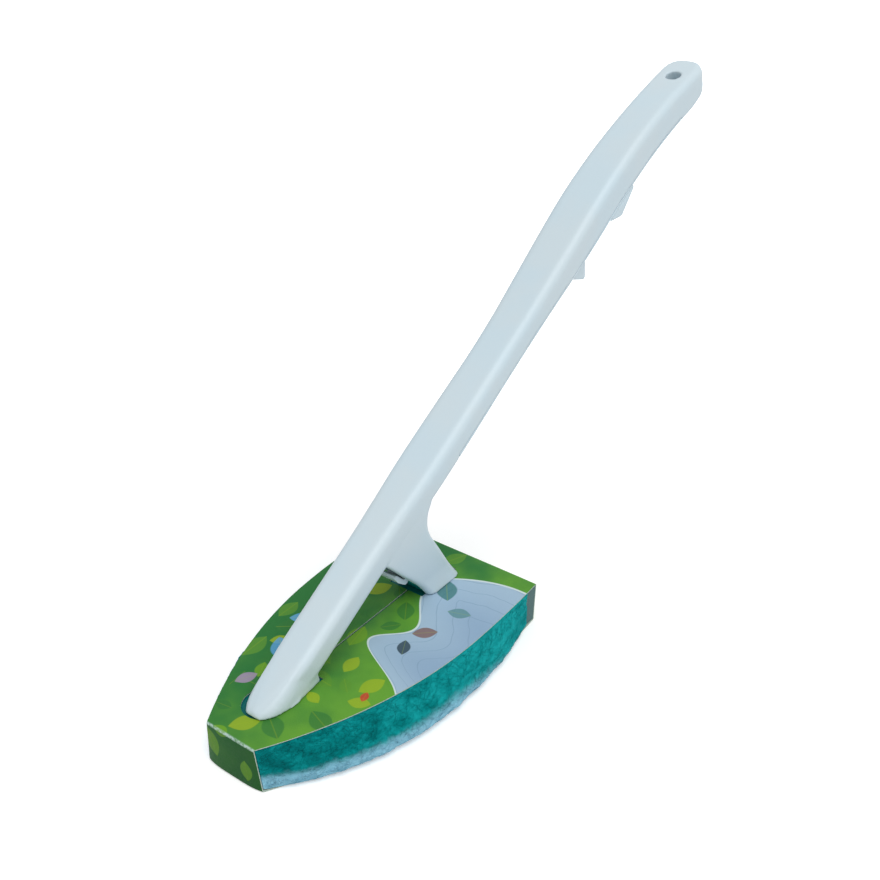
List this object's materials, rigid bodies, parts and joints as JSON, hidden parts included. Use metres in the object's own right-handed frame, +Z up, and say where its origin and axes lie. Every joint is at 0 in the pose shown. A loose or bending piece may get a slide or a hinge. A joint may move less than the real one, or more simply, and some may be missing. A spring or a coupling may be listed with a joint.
{
  "type": "bathtub brush",
  "caption": "Long-handled bathtub brush: a white angled handle with a hang hole clips onto a boat-shaped scrub pad in its printed card sleeve.",
  "frame": {"origin": "underside of the card sleeve, midway along the head, in the plane of symmetry", "axes": "+X from the nose of the head to the end of the handle, +Z up, +Y to the left when looking along +X"},
  "size_m": [0.3858, 0.1104, 0.2294],
  "materials": {
    "white_plastic": "satin moulded",
    "spring_steel": "bright drawn",
    "teal_plastic": "satin moulded",
    "teal_fibre": "open non-woven fibre",
    "pale_fibre": "dense non-woven fibre",
    "green_card": "printed and varnished"
  },
  "bodies": {
    "head": {"carrier_plate": "teal_plastic", "catch_tongue": "teal_plastic", "pad_body": "teal_fibre", "scrub_layer": "pale_fibre", "card_sleeve": "green_card"},
    "handle": {"handle_body": "white_plastic", "grip_cover": "white_plastic", "rocker_pin": "spring_steel", "rocker_spring": "spring_steel"},
    "rocker": {"release_rocker": "white_plastic"}
  },
  "joints": [
    {"name": "handle_lift", "type": "slide", "parent": "head", "child": "handle", "axis": [0, 0, 1], "range_m": [0, 0.045], "deforming": ["catch_tongue"]},
    {"name": "rocker_press", "type": "hinge", "parent": "handle", "child": "rocker", "pos_m": [0.04641, 0, 0.044], "axis": [0, 1, 0], "range_deg": [0, 16], "stiffness_Nm_per_rad": 0.04, "springref_deg": -9.74, "deforming": ["rocker_spring", "catch_tongue"]}
  ]
}
